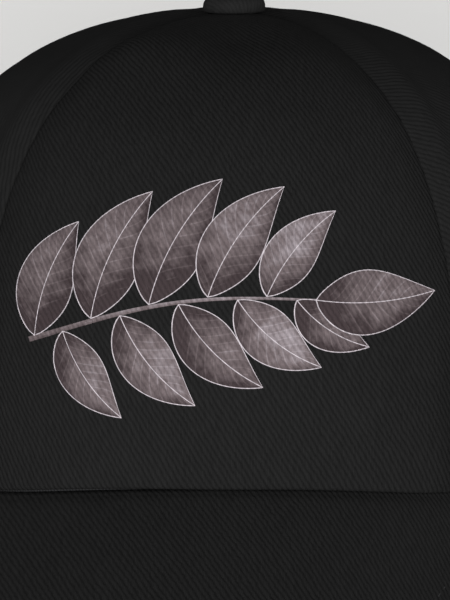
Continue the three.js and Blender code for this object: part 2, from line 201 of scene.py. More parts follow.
# Print: a spray of broad leaves, the side ones in pairs, with one at its tip
PRINT_MIDDLE = (-1.5, 48.5)  # across and up, on the front panel
STEM_START = (-44.5, -7.0)
STEM_END = (27.0, 4.0)
STEM_RISE = 5.0
STEM_WIDTH = 1.3
LEAF_PAIRS = 5
LEAF_LENGTH = 34.0
LEAF_WIDTH_SHARE = 0.47
LEAF_STEPS = 41
OUTLINE = 0.2
MIDRIB = 0.1
INK_LIFT = 0.10
INK_LAYER = 0.035
SHADED_LIFT = 0.025
SKIRT = 0.1
SIDE_VEINS = 11.0
VEIN_SLANT = -2.0
VEIN_SHARPNESS = 9.0
VEIN_LIGHT = 0.16
INK_WEAVE_DEPTH = 0.12

# Camera, in the cap's frame
CAMERA_AIM = (1.6, -60.0, 47.9)
CAMERA_TURN = math.radians(2.55)
CAMERA_RISE = math.radians(10.5)
CAMERA_ROLL = math.radians(-0.25)
CAMERA_DISTANCE = 670.8
FOCAL_PIXELS = 2656.6
PHOTO_HEIGHT = 600

# Floor and lights, in metres and watts on the floor
FLOOR_HALF_SIZE = 4.0
WORLD_STRENGTH = 0.22
LIGHT_SIZE = 1.3
LIGHT_AIM = (0.0, 0.0, 0.06)
LIGHTS = [
    ("front_box", (0.1, -3.2, 0.78), 300.0),
    ("left_box", (2.0, 1.9, 0.7), 105.0),
    ("right_box", (-2.0, 1.9, 0.7), 120.0),
]


def cap_origin():
    """Where the cap's own origin lies on the floor, from the disc under the button."""
    low, high = (np.array(corner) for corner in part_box("button_back"))
    disc_height = BAND_HEIGHT + DOME_HEIGHT - FRONT_THICKNESS - 2 * GAP - BUTTON_BACK_THICKNESS / 2
    return (low + high) / 2 - pitched(np.array([0.0, TOP_SET_BACK, disc_height])) * MILLIMETRE


def pitched(points):
    points = np.asarray(points, float)
    x, y, z = points[..., 0], points[..., 1], points[..., 2]
    turn_cos, turn_sin = math.cos(REST_PITCH), math.sin(REST_PITCH)
    return np.stack([x, y * turn_cos + z * turn_sin, z * turn_cos - y * turn_sin], -1)


CAP_ORIGIN = cap_origin()


def to_room(points):
    return pitched(points) * MILLIMETRE + CAP_ORIGIN


def leaned(points):
    """The crown's top leans a little towards the wearer's left, as soft cloth does."""
    points = np.array(points, float)
    points[..., 0] += CROWN_LEAN * np.clip(points[..., 2] / DOME_HEIGHT, 0, None) ** 3
    return points


# Crown surface

def plan_radius(azimuth):
    depth = np.where(np.cos(azimuth) > 0, FRONT_DEPTH, BACK_DEPTH)
    across = np.abs(np.sin(azimuth) / HALF_WIDTH) ** PLAN_POWER
    along = np.abs(np.cos(azimuth) / depth) ** PLAN_POWER
    return (across + along) ** (-1 / PLAN_POWER)


def dome_powers(azimuth):
    front_share = np.maximum(np.cos(azimuth), 0) ** 2
    wall = SIDE_WALL_POWER + (FRONT_WALL_POWER - SIDE_WALL_POWER) * front_share
    top = SIDE_TOP_POWER + (FRONT_TOP_POWER - SIDE_TOP_POWER) * front_share
    return wall, top


def spread_share(azimuth, climb):
    wall, _ = dome_powers(azimuth)
    return np.maximum(np.cos(np.maximum(climb, 0)), 0) ** (2 / wall)


def crown_point(azimuth, climb):
    """Climb runs from 0 at the dome's foot to a quarter turn at its top, and below 0 down the wall."""
    azimuth, climb = np.broadcast_arrays(np.asarray(azimuth, float), np.asarray(climb, float))
    _, top = dome_powers(azimuth)
    spread = plan_radius(azimuth) * spread_share(azimuth, climb)
    rise = np.sin(np.clip(climb, 0, math.pi / 2)) ** (2 / top)
    height = np.where(climb > 0, BAND_HEIGHT + DOME_HEIGHT * rise, BAND_HEIGHT * (1 + climb))
    return np.stack([spread * np.sin(azimuth), TOP_SET_BACK * rise - spread * np.cos(azimuth), height], -1)


def crown_normal(azimuth, climb):
    step = 1e-3
    low = np.minimum(climb - step, math.pi / 2 - 3 * step)
    around = crown_point(azimuth + step, low + step) - crown_point(azimuth - step, low + step)
    upward = crown_point(azimuth, low + 2 * step) - crown_point(azimuth, low)
    return unit(np.cross(around, upward))


def unit(vectors):
    return vectors / np.maximum(np.linalg.norm(vectors, axis=-1, keepdims=True), 1e-12)


def walked(points):
    """How far along a line each of its points lies."""
    return np.concatenate([[0], np.cumsum(np.linalg.norm(np.diff(points, axis=0), axis=1))])


def paired(first, second):
    """Two coordinates for each place, from values that fit together."""
    return np.stack(np.broadcast_arrays(first, second), -1)


def bell(distance, width):
    """1 where the distance is 0, and nearly 0 at twice the width."""
    return np.exp(-(distance / width) ** 2)


def from_axis(points):
    """Distance from the upright line through the crown's top."""
    return np.hypot(points[..., 0], points[..., 1] - TOP_SET_BACK)


def plan_depth(across, half_width, depth):
    """How far the crown's level outline lies in front of or behind its middle, at a place across."""
    return depth * (1 - np.abs(across / half_width) ** PLAN_POWER) ** (1 / PLAN_POWER)


def inside_point(azimuth, climb, inset):
    return crown_point(azimuth, climb) - crown_normal(azimuth, climb) * np.asarray(inset)[..., None]


def climb_at_height(azimuth, height):
    _, top = dome_powers(azimuth)
    dome_share = np.clip((np.asarray(height, float) - BAND_HEIGHT) / DOME_HEIGHT, 0, 1)
    on_dome = np.arcsin(dome_share ** (top / 2))
    return np.where(np.asarray(height) > BAND_HEIGHT, on_dome, np.asarray(height) / BAND_HEIGHT - 1)


def climb_at_top_radius(azimuth, radius):
    wall, _ = dome_powers(azimuth)
    return np.arccos((radius / plan_radius(azimuth)) ** (wall / 2))


def spaced_climbs(azimuth, low, high, shares):
    """Climbs at the given shares of the cloth's length from low to high."""
    samples = np.linspace(low, high, 400)
    lengths = walked(crown_point(azimuth, samples))
    return np.interp(np.asarray(shares) * lengths[-1], lengths, samples)


class ClothMap:
    """Cloth coordinates of a panel, in millimetres: across from its middle, and up from the hem."""

    def __init__(self, middle, half_width):
        self.azimuths = np.linspace(middle - half_width - 0.2, middle + half_width + 0.2, 300)
        arcs = walked(crown_point(self.azimuths, np.zeros_like(self.azimuths)))
        self.arcs = arcs - np.interp(middle, self.azimuths, arcs)
        self.climbs = np.concatenate([np.linspace(-1, 0, 20)[:-1], np.linspace(0, math.pi / 2, 500)])
        line = crown_point(middle, self.climbs)
        self.lengths = walked(line)
        # Straight cross threads climb away from a level ring of the dome as they leave the middle.
        self.drifts = crown_normal(middle, self.climbs)[:, 2] / (2 * np.maximum(from_axis(line), 1))

    def at(self, azimuth, climb):
        across = np.interp(azimuth, self.azimuths, self.arcs) * spread_share(azimuth, climb)
        upward = np.interp(climb, self.climbs, self.lengths)
        return np.stack([across, upward + np.interp(climb, self.climbs, self.drifts) * across ** 2], -1)


# Meshes

def new_object(name, data):
    made = bpy.data.objects.new(name, data)
    bpy.context.collection.objects.link(made)
    return made


def room_mesh(name, points, faces):
    """A new mesh from points in the cap's frame."""
    mesh = bpy.data.meshes.new(name)
    mesh.from_pydata(to_room(leaned(points)).tolist(), [], faces)
    return mesh


def mesh_piece(name, points, faces, material, uv=None):
    """A new object from points in the cap's frame, riding on the part, with cloth coordinates uv."""
    mesh = room_mesh(name, points, faces)
    mesh.polygons.foreach_set("use_smooth", [True] * len(mesh.polygons))
    if uv is not None:
        set_uv(mesh, "Cloth", np.asarray(uv, float) * UV_SCALE)
    mesh.validate()
    mesh.set_sharp_from_angle(angle=SHARP_ANGLE)
    piece = new_object(name, mesh)
    mesh.materials.append(material)
    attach(piece, "root")
    return piece


def set_uv(mesh, name, uv):
    layer = mesh.uv_layers.new(name=name)
    corners = np.empty(len(mesh.loops), dtype=np.int32)
    mesh.loops.foreach_get("vertex_index", corners)
    layer.uv.foreach_set("vector", np.asarray(uv, np.float32)[corners].ravel())


def rounded_sections(outer, inner, outer_uv, bulge=1.0, steps=3):
    """Closed loops, one for each column, from the rows of two faces joined by rounded edges."""
    def edge(end, beside):
        middle = (outer[:, end] + inner[:, end]) / 2
        half = (outer[:, end] - inner[:, end]) / 2
        out_of = unit(middle - (outer[:, beside] + inner[:, beside]) / 2)
        width = np.linalg.norm(half, axis=-1, keepdims=True) * bulge
        angles = [math.pi * (i + 1) / (2 * steps + 1) for i in range(2 * steps)]
        ring = [middle + half * math.cos(a) + out_of * width * math.sin(a) for a in angles]
        uv_out = unit(outer_uv[:, end] - outer_uv[:, beside])
        flat = [outer_uv[:, end] + uv_out * width * min(a, math.pi - a) for a in angles]
        return np.stack(ring, 1), np.stack(flat, 1)

    low_ring, low_uv = edge(0, 1)
    high_ring, high_uv = edge(-1, -2)

    def closed(low, face, high, back):
        start, end = low[:, :steps][:, ::-1], low[:, steps:][:, ::-1]
        return np.concatenate([start, face, high, back[:, ::-1], end], 1)

    return closed(low_ring, outer, high_ring, inner), closed(low_uv, outer_uv, high_uv, outer_uv)


def loft_faces(columns, length, ring=False):
    """Faces between neighbouring closed loops, in a ring or with thin end caps whose corners pair up."""
    faces = []
    pairs = [(c, c + 1) for c in range(columns - 1)]
    if ring:
        pairs.append((columns - 1, 0))
    for here, there in pairs:
        low, high = here * length, there * length
        for i in range(length):
            after = (i + 1) % length
            faces.append((low + i, high + i, high + after, low + after))
    if not ring:
        last = (columns - 1) * length
        for i in range(length // 2 - 1):
            mate = length - 1 - i
            faces.append((i, i + 1, mate - 1, mate))
            faces.append((last + mate, last + mate - 1, last + i + 1, last + i))
    return faces


def shell_piece(name, outer, inner, uv, material, slot, bulge=1.0):
    sections, maps = rounded_sections(outer, inner, uv, bulge)
    columns, length = sections.shape[:2]
    faces = loft_faces(columns, length)
    return mesh_piece(name, sections.reshape(-1, 3), faces, material, maps.reshape(-1, 2))


def cut(piece, cutters):
    """Cuts closed objects out of a piece and removes them."""
    for cutter in cutters:
        step = piece.modifiers.new("cut", "BOOLEAN")
        step.operation = "DIFFERENCE"
        step.object = cutter
        step.solver = "EXACT"
    apply_modifiers(piece)
    for cutter in cutters:
        bpy.data.objects.remove(cutter, do_unlink=True)


def apply_modifiers(piece):
    bpy.context.view_layer.update()
    shape = piece.evaluated_get(bpy.context.evaluated_depsgraph_get())
    mesh = bpy.data.meshes.new_from_object(shape)
    piece.modifiers.clear()
    piece.data = mesh


def rod_cutter(start, end, outline):
    """A closed prism along the line from start to end, outline being points beside that line."""
    start, end = np.asarray(start, float), np.asarray(end, float)
    sides = len(outline)
    points = [start + side for side in outline] + [end + side for side in outline]
    faces = [(i, (i + 1) % sides, sides + (i + 1) % sides, sides + i) for i in range(sides)]
    faces += [tuple(range(sides))[::-1], tuple(range(sides, 2 * sides))]
    return new_object("cutter", room_mesh("cutter", points, faces))


def stitch_row(points, normals):
    """Points and faces of stitches laid end to end along a line on the cloth."""
    arcs = walked(points)
    count = max(int(arcs[-1] / (STITCH_LENGTH + STITCH_SPACE)), 1)
    pitch = arcs[-1] / count
    stitch_points, stitch_faces = [], []
    rings, sides = 5, 6
    for k in range(count):
        ends = [pitch * (k + 0.5) - STITCH_LENGTH / 2, pitch * (k + 0.5) + STITCH_LENGTH / 2]
        tail, head = (np.array([np.interp(e, arcs, points[:, a]) for a in range(3)]) for e in ends)
        lift = unit(np.array([np.interp(sum(ends) / 2, arcs, normals[:, a]) for a in range(3)]))
        side = np.cross(lift, unit(head - tail))
        first = len(stitch_points)
        for share in np.linspace(0, 1, rings):
            bow = math.sin(math.pi * (0.08 + 0.84 * share))
            middle = tail + (head - tail) * share + lift * STITCH_RADIUS * (0.5 * bow - 0.25)
            width = STITCH_RADIUS * (0.45 + 0.55 * bow)
            for s in range(sides):
                angle = 2 * math.pi * s / sides
                around = side * math.cos(angle) + lift * math.sin(angle) * 0.8
                stitch_points.append(middle + around * width)
        for ring in range(rings - 1):
            a, b = first + ring * sides, first + (ring + 1) * sides
            for s in range(sides):
                after = (s + 1) % sides
                stitch_faces.append((a + s, a + after, b + after, b + s))
        last = first + (rings - 1) * sides
        stitch_faces.append(tuple(range(first, first + sides))[::-1])
        stitch_faces.append(tuple(range(last, last + sides)))
    return stitch_points, stitch_faces


def stitches_piece(name, rows):
    points, faces = [], []
    for line, normals in rows:
        new_points, new_faces = stitch_row(line, normals)
        faces += [tuple(corner + len(points) for corner in face) for face in new_faces]
        points += new_points
    mesh_piece(name, np.array(points), faces, THREAD)


# Materials

class Nodes:
    """Short calls for one material's node tree."""

    def __init__(self, name):
        self.material = bpy.data.materials.new(name)
        self.material.use_nodes = True
        self.tree = self.material.node_tree
        self.shader = self.tree.nodes["Principled BSDF"]

    def new(self, kind, **settings):
        node = self.tree.nodes.new(kind)
        for key, value in settings.items():
            setattr(node, key, value)
        return node

    def link(self, source, target):
        self.tree.links.new(source, target)

    def put(self, value, socket):
        if isinstance(value, (int, float)):
            socket.default_value = value
        else:
            self.link(value, socket)

    def math(self, operation, first, second=0.0, third=None):
        node = self.new("ShaderNodeMath", operation=operation)
        self.put(first, node.inputs[0])
        self.put(second, node.inputs[1])
        if third is not None:
            self.put(third, node.inputs[2])
        return node.outputs[0]

    def scaled(self, value, factor, plus):
        return self.math("MULTIPLY_ADD", value, factor, plus)

    def blend(self, *shares, plus=0.0):
        """The sum of values, each times its share."""
        for value, share in shares:
            plus = self.scaled(value, share, plus)
        return plus

    def hump(self, value):
        """Half a sine wave while the value goes from 0 to 1."""
        return self.math("SINE", self.math("MULTIPLY", value, math.pi))

    def object_place(self):
        return self.new("ShaderNodeTexCoord").outputs["Object"]

    def map(self, name):
        """A UV map, and its two parts."""
        uv = self.new("ShaderNodeUVMap", uv_map=name).outputs["UV"]
        parts = self.new("ShaderNodeSeparateXYZ")
        self.link(uv, parts.inputs[0])
        return uv, parts.outputs[0], parts.outputs[1]

    def paint(self, colour):
        self.link(colour, self.shader.inputs["Base Color"])

    def noise(self, vector, scale, detail=2.0, roughness=0.5):
        node = self.new("ShaderNodeTexNoise")
        self.link(vector, node.inputs["Vector"])
        node.inputs["Scale"].default_value = scale
        node.inputs["Detail"].default_value = detail
        node.inputs["Roughness"].default_value = roughness
        return node.outputs["Fac"]

    def random_at(self, first, second):
        place = self.new("ShaderNodeCombineXYZ")
        self.put(first, place.inputs[0])
        self.put(second, place.inputs[1])
        node = self.new("ShaderNodeTexWhiteNoise", noise_dimensions="2D")
        self.link(place.outputs[0], node.inputs["Vector"])
        return node.outputs["Value"]

    def mix(self, factor, first, second):
        node = self.new("ShaderNodeMix", data_type="RGBA")
        self.put(factor, node.inputs[0])
        for value, socket in ((first, node.inputs[6]), (second, node.inputs[7])):
            if isinstance(value, tuple):
                socket.default_value = (*value, 1.0)
            else:
                self.link(value, socket)
        return node.outputs[2]

    def bump(self, height, distance_mm):
        node = self.new("ShaderNodeBump")
        node.inputs["Distance"].default_value = distance_mm * MILLIMETRE
        self.link(height, node.inputs["Height"])
        self.link(node.outputs["Normal"], self.shader.inputs["Normal"])

    def set(self, **values):
        for key, value in values.items():
            self.shader.inputs[key.replace("_", " ")].default_value = value


def twill_weave(nodes, ridge_pitch=RIDGE_PITCH):
    """Height and colour share of cotton twill: upright warp floats, each column set lower than the last.
    The colour share is the yarn's own uneven tone plus painted shade that darkens it where the weave lies
    low.
    """
    cloth, across, upward = nodes.map("Cloth")
    across = nodes.math("DIVIDE", across, UV_SCALE)
    upward = nodes.math("DIVIDE", upward, UV_SCALE)
    column_pitch = ridge_pitch / math.sin(RIDGE_ANGLE) / COLUMNS_PER_RIDGE
    repeat_height = ridge_pitch / math.cos(RIDGE_ANGLE)
    waver = nodes.noise(cloth, 9.0, 3.0)
    wander = nodes.noise(cloth, 60.0, 2.0)
    shift = nodes.scaled(waver, 0.9, nodes.math("MULTIPLY", wander, 0.35))
    column_number = nodes.scaled(wander, 0.8, nodes.math("DIVIDE", across, column_pitch))
    column = nodes.math("FLOOR", column_number)
    over = nodes.math("ADD", nodes.math("DIVIDE", upward, repeat_height), shift)
    float_number = nodes.scaled(column, 1 / COLUMNS_PER_RIDGE, over)
    ridge_number = nodes.scaled(column_number, 1 / COLUMNS_PER_RIDGE, over)
    ridge = nodes.hump(nodes.math("FRACT", ridge_number))
    rounded = nodes.hump(nodes.math("FRACT", column_number))
    along = nodes.math("DIVIDE", nodes.math("FRACT", float_number), FLOAT_SHARE)
    along = nodes.hump(nodes.math("MINIMUM", along, 1.0))
    warp = nodes.math("MULTIPLY", nodes.math("POWER", rounded, 0.6), nodes.math("POWER", along, 0.6))
    chance = nodes.random_at(column, nodes.math("FLOOR", float_number))
    fibre = nodes.noise(cloth, 420.0, 4.0, 0.7)
    patches = nodes.noise(cloth, 3.0, 3.0)
    height = nodes.blend((ridge, 0.65), (warp, 0.35), (chance, 0.12), (fibre, 0.3))
    # ridge and warp follow the weave's height: painted shade in its low places; chance, fibre and patches
    # are the yarn's own uneven tone
    shares = ((ridge, 0.4), (warp, 0.35), (chance, 0.3), (fibre, 0.5), (patches, 0.4))
    tone_and_shade = nodes.blend(*shares, plus=-0.5)
    clamp = nodes.new("ShaderNodeClamp")
    nodes.link(tone_and_shade, clamp.inputs[0])
    return height, clamp.outputs[0]


def twill_material(name, valley, crest, ridge_pitch=RIDGE_PITCH, depth_mm=0.15):
    nodes = Nodes(name)
    height, tone_and_shade = twill_weave(nodes, ridge_pitch)
    nodes.bump(height, depth_mm)
    # painted shade: the valley colour goes where the weave lies low and the crest colour where it stands
    # high, mixed with the yarn's own uneven tone
    nodes.paint(nodes.mix(tone_and_shade, valley, crest))
    nodes.set(Roughness=1.0, Specular_IOR_Level=0.0)
    return nodes.material


def print_material(name, ink_colour):
    """Ink on the twill, with painted shade making it a little darker where the weave lies low."""
    nodes = Nodes(name)
    height, tone_and_shade = twill_weave(nodes)
    nodes.bump(height, INK_WEAVE_DEPTH)
    shade = nodes.new("ShaderNodeVectorMath", operation="SCALE")
    nodes.link(ink_colour(nodes), shade.inputs[0])
    nodes.link(nodes.scaled(tone_and_shade, 0.45, 0.72), shade.inputs["Scale"])
    nodes.paint(shade.outputs[0])
    nodes.set(Roughness=0.9, Specular_IOR_Level=0.05)
    return nodes.material


def leaf_colour(nodes):
    """Shaded from a dark base to a light tip, with fine side veins."""
    _, place, side = nodes.map("Leaf")
    along = nodes.math("FRACT", place)
    across = nodes.math("SUBTRACT", nodes.math("MULTIPLY", side, 2.0), 1.0)
    out = nodes.math("ABSOLUTE", across)
    chance = nodes.random_at(nodes.math("FLOOR", place), 0.5)
    mottle = nodes.noise(nodes.map("Cloth")[0], 28.0, 5.0, 0.6)
    swell = nodes.math("SINE", nodes.math("MULTIPLY", along, 2.6))
    edge = nodes.math("MULTIPLY", out, out)
    vein_number = nodes.scaled(out, VEIN_SLANT, nodes.math("MULTIPLY", along, SIDE_VEINS))
    vein = nodes.math("ABSOLUTE", nodes.math("SUBTRACT", nodes.math("FRACT", vein_number), 0.5))
    from_vein = nodes.math("MINIMUM", nodes.math("MULTIPLY", vein, VEIN_SHARPNESS), 1.0)
    vein = nodes.math("SUBTRACT", 1.0, from_vein)
    shares = ((swell, 0.62), (across, 0.16), (edge, -0.22), (chance, 0.3), (mottle, 0.9))
    light = nodes.blend(*shares, (vein, VEIN_LIGHT), plus=-0.75)
    ramp = nodes.new("ShaderNodeValToRGB")
    stops = ramp.color_ramp.elements
    stops[0].color = (*INK_DARK, 1.0)
    stops[1].color = (*INK_LIGHT, 1.0)
    stops.new(0.42).color = (*INK_MIDDLE, 1.0)
    nodes.link(light, ramp.inputs[0])
    return ramp.outputs[0]


def outline_colour(nodes):
    worn = nodes.noise(nodes.map("Cloth")[0], 40.0, 4.0, 0.6)
    return nodes.mix(worn, INK_LIGHT, INK_PALE)


def thread_material(name, colour):
    nodes = Nodes(name)
    place = nodes.object_place()
    nodes.bump(nodes.noise(place, 2500.0), 0.05)
    darker = tuple(0.5 * part for part in colour)
    nodes.paint(nodes.mix(nodes.noise(place, 900.0), darker, colour))
    nodes.set(Roughness=0.8, Specular_IOR_Level=0.03)
    return nodes.material


def metal_material(name):
    nodes = Nodes(name)
    place = nodes.object_place()
    stretch = nodes.new("ShaderNodeMapping")
    nodes.link(place, stretch.inputs["Vector"])
    stretch.inputs["Scale"].default_value = (60.0, 900.0, 900.0)
    brushed = nodes.noise(stretch.outputs[0], 3.0, 4.0)
    nodes.bump(brushed, 0.01)
    worn = nodes.noise(place, 350.0, 4.0)
    nodes.paint(nodes.mix(worn, (0.30, 0.295, 0.285), (0.46, 0.455, 0.44)))
    nodes.link(nodes.scaled(brushed, 0.25, 0.22), nodes.shader.inputs["Roughness"])
    nodes.set(Metallic=1.0)
    return nodes.material


def grey(level):
    return (level, level, level)


BLACK = twill_material("black_twill", grey(0.0041), grey(0.0079))
UNLINED_BLACK = twill_material("unlined_twill", grey(0.0045), grey(0.0077), depth_mm=0.09)
# A lighter copy of the black twill for the button: painted light.
BUTTON_BLACK_PAINTED_LIGHT = twill_material("button_twill_painted_light", grey(0.0062), grey(0.0088), depth_mm=0.06)
LINING = twill_material("sweatband_twill", (0.006, 0.006, 0.0062), (0.013, 0.013, 0.0135), 0.8, 0.1)
THREAD = thread_material("black_thread", (0.0125, 0.0125, 0.0128))
METAL = metal_material("slider_metal")


# Panels

def turn_from_front(azimuth):
    return np.abs((np.asarray(azimuth, float) + math.pi) % (2 * math.pi) - math.pi)


def hem_height(azimuth):
    """Height of the crown's hem: over the visor at the front, in the plane z = 0 past its tips."""
    turn = turn_from_front(azimuth)
    near = np.minimum(turn, TIP_AZIMUTH)
    height = np.zeros_like(near)
    end_share = (near / FRONT_SEAM) ** 2
    crease = CREASE_DEPTH * (1 + CREASE_END_SHARE * end_share)
    gap = HEM_GAP + HEM_END_GAP * end_share - crease / math.cos(VISOR_SLOPE)
    for _ in range(4):
        wall_point = crown_point(near, climb_at_height(near, height))
        height = np.maximum(visor_height(wall_point) + joint_shift(wall_point[..., 0]) + gap, 0)
    return height * np.clip((HEM_LEVEL_AZIMUTH - turn) / (HEM_LEVEL_AZIMUTH - TIP_AZIMUTH), 0, 1)


def joint_shift(across):
    """How much the sewn joint lies above its even line: it sags in the middle and rises to the left."""
    even = JOINT_LIFT + JOINT_TILT * across - JOINT_SAG * bell(across, JOINT_SAG_WIDTH)
    return even * np.clip(1 - (across / JOINT_HALF_WIDTH) ** 4, 0, 1)


def visor_height(point):
    turn = np.arcsin(point[..., 0] / VISOR_BEND_RADIUS)
    fall = VISOR_BEND_RADIUS * (1 - np.cos(turn))
    reach = (-FRONT_DEPTH - point[..., 1] + fall * math.sin(VISOR_SLOPE)) / math.cos(VISOR_SLOPE)
    return JOINT_HEIGHT - reach * math.sin(VISOR_SLOPE) - fall * math.cos(VISOR_SLOPE)


def edge_shares(count, power=2.3):
    """Shares from 0 to 1, closer together near both ends."""
    line = np.linspace(-1, 1, count)
    return 0.5 + 0.5 * np.sign(line) * (1 - (1 - np.abs(line)) ** power)


def undulation(azimuth, climb):
    """Soft unevenness of sewn cloth, in millimetres, more on the unlined sides and back."""
    waves = WAVE * np.sin(5.0 * azimuth + 2.2 * climb + 0.7) * np.sin(3.0 * climb + 1.1)
    waves += FINE_WAVE * np.sin(11.0 * azimuth - 3.0 * climb + 2.0) * np.sin(6.5 * climb + 0.4)
    unlined = np.clip((turn_from_front(azimuth) - FRONT_SEAM) / math.radians(20), 0, 1)
    soft = np.sin(7.0 * azimuth + 4.0 * climb) + 0.7 * np.sin(13.0 * azimuth - 5.0 * climb + 1.3)
    waves += SOFT_WAVE * unlined * soft * bell(climb - 0.35, 0.5)
    place = crown_point(azimuth, climb)
    shoulder = np.clip(np.abs(place[..., 0]) / SHOULDER_REACH, 0, 1.15) ** 2
    shoulder = shoulder * bell(place[..., 2] - SHOULDER_HEIGHT, SHOULDER_WIDTH)
    waves = waves * np.clip(np.cos(climb), 0, 1) + SHOULDER_RISE * shoulder
    for middle, size, rise in PUFFS:
        waves += rise * bell(np.linalg.norm(place - middle, axis=-1), size)
    return waves


def seam_azimuth(seam, axis_distance):
    """The front seams turn back a little near the crown's top."""
    turn = math.copysign(SEAM_TURN, seam) if math.isclose(abs(seam), FRONT_SEAM) else 0.0
    return seam + turn * bell(axis_distance, SEAM_TURN_REACH)


def seam_inset(azimuth, climb, seams):
    """How far the cloth dips into the seams beside a panel, with its small puckers."""
    place = crown_point(azimuth, climb)
    height = place[..., 2]
    axis_distance = from_axis(place)
    inset = np.zeros_like(axis_distance)
    near_top = np.clip(axis_distance / TOP_FADE_REACH, 0.25, 1)
    unlined = turn_from_front(azimuth) > seam_azimuth(FRONT_SEAM, axis_distance)
    dip_width = np.where(unlined, SOFT_DIP_WIDTH, SEAM_DIP_WIDTH) * near_top
    dip = SEAM_DIP * near_top * (1 + UPPER_DIP * bell(height - UPPER_DIP_HEIGHT, UPPER_DIP_WIDTH))
    band = SEAM_BAND * near_top * np.where(unlined, 1.0, LINED_BAND_SHARE)
    fold = SEAM_FOLD * near_top * unlined * bell(height - FOLD_HEIGHT, FOLD_HEIGHT_WIDTH)
    for seam in seams:
        distance = np.abs(azimuth - seam_azimuth(seam, axis_distance)) * axis_distance
        inset += dip * bell(distance, dip_width)
        inset -= band * bell(distance - SEAM_BAND_PLACE, SEAM_BAND_WIDTH)
        inset += fold * bell(distance - SEAM_FOLD_PLACE, SEAM_FOLD_WIDTH)
        inset += SEAM_GROOVE * near_top * bell(distance, SEAM_GROOVE_WIDTH)
        puckers = np.sin(height * 1.1 + 5 * np.sin(height * 0.17 + seam))
        inset += PUCKER * puckers * bell(distance - PUCKER_PLACE, PUCKER_WIDTH)
    return inset


def panel_piece(name, low_azimuth, high_azimuth, thickness, columns, cutters=()):
    seams = (low_azimuth, high_azimuth)
    slack = 0.03
    thinnest = 0.6
    cloth = ClothMap(sum(seams) / 2, (high_azimuth - low_azimuth) / 2)
    length = 165.0
    near_hem = [0, 0.06, 0.2, 0.42, 0.75, 1.15, 1.7, 2.6, 4.2]
    from_hem = np.concatenate([near_hem, np.linspace(7, length, 52)])
    row_shares = from_hem / length
    roll = HEM_ROLL_SHARE * thickness
    below = np.clip(roll - from_hem, 0, roll)
    rolled = roll - np.sqrt(roll ** 2 - below ** 2)
    outer, inner, uv = [], [], []
    for share in edge_shares(columns):
        middle = low_azimuth + (high_azimuth - low_azimuth) * share
        hem = float(hem_height(middle))
        low = float(climb_at_height(middle, hem))
        top = float(climb_at_top_radius(middle, TOP_HOLE_RADIUS))
        climbs = spaced_climbs(middle, low, top, row_shares)
        axis_distance = from_axis(crown_point(middle, climbs))
        turn = slack / np.maximum(axis_distance, 0.5)
        low_seam, high_seam = (seam_azimuth(seam, axis_distance) for seam in seams)
        azimuths = (low_seam + turn) + (high_seam - low_seam - 2 * turn) * share
        dips = seam_inset(azimuths, climbs, seams) - undulation(azimuths, climbs)
        outer.append(inside_point(azimuths, climbs, dips + rolled))
        inner.append(inside_point(azimuths, climbs, np.maximum(thickness, dips + thinnest)))
        uv.append(cloth.at(azimuths, climbs))
    cloth_material = BLACK if thickness == FRONT_THICKNESS else UNLINED_BLACK
    grids = (np.array(grid) for grid in (outer, inner, uv))
    piece = shell_piece(name, *grids, cloth_material, "black_twill", HEM_BULGE)
    if cutters:
        cut(piece, cutters)
    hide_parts(name.lower().replace("_cloth", ""))
    return piece


def eyelet_place(azimuth):
    climb = climb_at_height(azimuth, EYELET_HEIGHT)
    normal = crown_normal(azimuth, climb)
    side = unit(np.cross([0, 0, 1.0], normal))
    upward = np.cross(normal, side)
    return inside_point(azimuth, climb, PANEL_THICKNESS / 2), side, upward, normal


def eyelet_cutter(azimuth):
    middle, side, upward, normal = eyelet_place(azimuth)
    radius = EYELET_HOLE_RADIUS + EYELET_CUT_MARGIN
    angles = np.linspace(0, 2 * math.pi, 33)[:-1]
    outline = [radius * (side * math.cos(a) + upward * math.sin(a)) for a in angles]
    return rod_cutter(middle - 6 * normal, middle + 6 * normal, outline)


def arch_cutter():
    half_width = ARCH_HALF_WIDTH + BINDING_WIDTH / 2
    height = ARCH_HEIGHT + BINDING_WIDTH / 2
    angles = np.linspace(0, 2 * math.pi, 129)[:-1]
    outline = [np.array([half_width * math.cos(a), 0, height * math.sin(a)]) for a in angles]
    return rod_cutter((0, 1.5 * BACK_DEPTH, 0), (0, 0.5 * BACK_DEPTH, 0), outline)


def make_panels():
    panel_piece("Front_Panel_Cloth", -FRONT_SEAM, FRONT_SEAM, FRONT_THICKNESS, 73)
    spans = {"Side": (FRONT_SEAM, SIDE_SEAM), "Back": (SIDE_SEAM, BACK_SEAM)}
    for side, sign in (("Left", 1), ("Right", -1)):
        for place, span in spans.items():
            cutters = [eyelet_cutter(sign * sum(span) / 2)]
            if place == "Back":
                cutters.append(arch_cutter())
            low, high = sorted(sign * seam for seam in span)
            panel_piece(f"{place}_Panel_{side}_Cloth", low, high, PANEL_THICKNESS, 61, cutters)
        for place, span in spans.items():
            eyelet_piece(f"{place}_Eyelet_{side}", sign * sum(span) / 2)


def eyelet_piece(name, azimuth):
    """A ring of close buttonhole stitches round the hole."""
    middle, side, upward, normal = eyelet_place(azimuth)
    around, across = 264, 12
    points = []
    for i in range(around):
        angle = 2 * math.pi * i / around
        outward = side * math.cos(angle) + upward * math.sin(angle)
        thread = 0.11 * abs(math.sin(angle * EYELET_THREADS / 2)) + 0.03 * math.sin(angle * 7 + 1)
        for j in range(across):
            turn = 2 * math.pi * j / across
            half_width = EYELET_RING_HALF_WIDTH + thread
            reach = EYELET_HOLE_RADIUS + EYELET_RING_HALF_WIDTH + half_width * math.cos(turn)
            lift = (EYELET_RING_HALF_DEPTH + thread) * math.sin(turn)
            points.append(middle + outward * reach + normal * lift)
    faces = loft_faces(around, across, ring=True)
    piece = mesh_piece(name, np.array(points), [face[::-1] for face in faces], THREAD)
    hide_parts(name.lower())


# Visor

